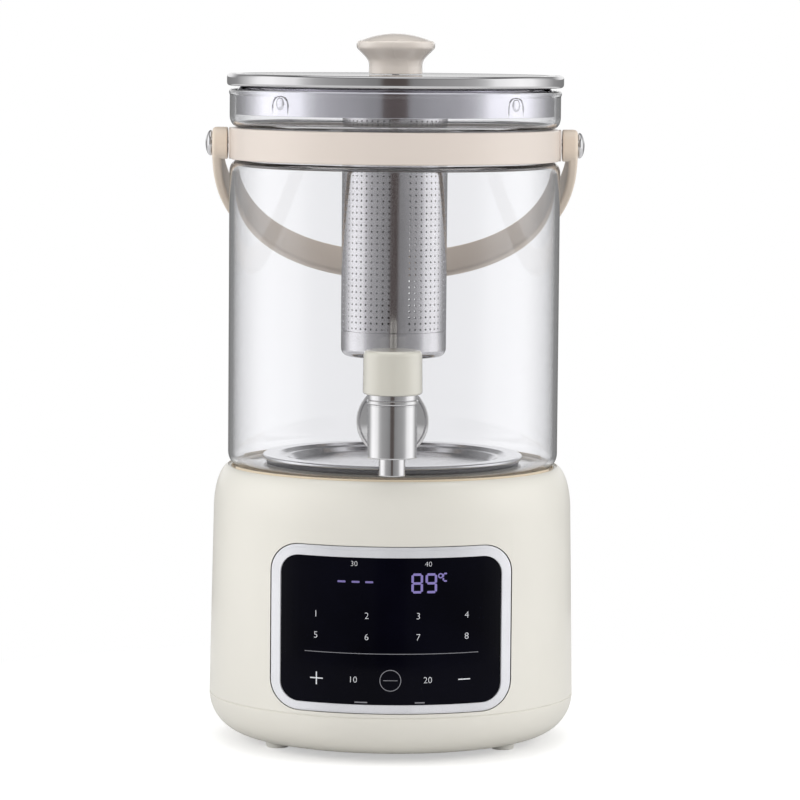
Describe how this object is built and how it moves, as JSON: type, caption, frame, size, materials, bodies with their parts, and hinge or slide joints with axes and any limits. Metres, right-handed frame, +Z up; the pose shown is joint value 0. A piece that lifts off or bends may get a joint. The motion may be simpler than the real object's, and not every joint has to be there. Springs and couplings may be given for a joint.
{
  "type": "electric tea kettle",
  "caption": "Round countertop tea kettle: glass jug with a front tap, swinging bail handle and a lid with a hanging perforated infuser, on a powered base with a curved touch panel.",
  "frame": {"origin": "the middle of the outline's footprint, on the surface that the feet stand on; the jug's axis stands 22.9 mm behind it", "axes": "+Z up, the front with the tap and the touch panel faces -Y, +X to the right as seen from the front"},
  "size_m": [0.1892, 0.2364, 0.3538],
  "materials": {
    "ivory_plastic": "satin",
    "beige_plastic": "satin",
    "brushed_steel": "brushed",
    "bright_chrome": "polished",
    "clear_glass": "polished",
    "black_glass": "gloss",
    "silver_trim": "satin",
    "grey_silicone": "matte",
    "tan_silicone": "matte",
    "foot_rubber": "matte",
    "black_plastic": "matte",
    "circuit_board": "satin"
  },
  "bodies": {
    "base": {"base_tray": "ivory_plastic", "base_housing": "ivory_plastic", "panel_bezel": "silver_trim", "touch_glass": "black_glass", "display_carrier": "black_plastic", "display_board": "circuit_board", "digit_display": "black_plastic", "power_board": "circuit_board", "base_socket": "black_plastic", "cord_inlet": "ivory_plastic", "seat_gasket": "tan_silicone", "foot_1": "foot_rubber", "foot_2": "foot_rubber", "foot_3": "foot_rubber", "foot_4": "foot_rubber", "tray_screw_1": "brushed_steel", "tray_screw_2": "brushed_steel", "tray_screw_3": "brushed_steel", "tray_screw_4": "brushed_steel"},
    "connector": {"jug_plug": "black_plastic"},
    "jug": {"glass_jar": "clear_glass", "heating_plate": "brushed_steel", "plate_gasket": "grey_silicone", "clamp_gasket": "grey_silicone", "clamp_ring": "brushed_steel", "heating_element": "brushed_steel", "temperature_sensor": "brushed_steel", "jug_cup": "ivory_plastic", "handle_band": "beige_plastic", "pivot_pin_left": "bright_chrome", "pivot_pin_right": "bright_chrome", "tap_body": "bright_chrome", "tap_flange": "bright_chrome", "tap_outer_gasket": "grey_silicone", "tap_inner_gasket": "grey_silicone", "tap_nut": "brushed_steel", "tap_spout": "bright_chrome", "tap_bonnet": "bright_chrome"},
    "tap_valve": {"valve_plug": "brushed_steel", "tap_knob": "ivory_plastic"},
    "bail": {"handle_bail": "beige_plastic"},
    "lid": {"lid_plate": "bright_chrome", "lid_skirt": "brushed_steel", "lid_knob": "ivory_plastic", "knob_washer": "brushed_steel", "knob_screw": "brushed_steel", "infuser_socket": "brushed_steel"},
    "infuser": {"infuser_collar": "brushed_steel", "infuser_tube": "brushed_steel", "infuser_base": "brushed_steel"}
  },
  "joints": [
    {"name": "jug_lift", "type": "slide", "parent": "base", "child": "connector", "axis": [0, 0, 1], "range_m": [0, 0.06]},
    {"name": "jug_turn", "type": "hinge", "parent": "connector", "child": "jug", "pos_m": [0, 0.02287, 0.1212], "axis": [0, 0, 1], "continuous": true},
    {"name": "tap_turn", "type": "hinge", "parent": "jug", "child": "tap_valve", "pos_m": [0, -0.10413, 0.1679], "axis": [0, 0, 1], "range_deg": [0, 90]},
    {"name": "bail_swing", "type": "hinge", "parent": "jug", "child": "bail", "pos_m": [0, 0.02287, 0.2986], "axis": [1, 0, 0], "range_deg": [0, 252]},
    {"name": "lid_lift", "type": "slide", "parent": "jug", "child": "lid", "axis": [0, 0, 1], "range_m": [0, 0.15]},
    {"name": "infuser_twist", "type": "hinge", "parent": "lid", "child": "infuser", "pos_m": [0, 0.02287, 0.32], "axis": [0, 0, 1], "range_deg": [0, 30]}
  ]
}
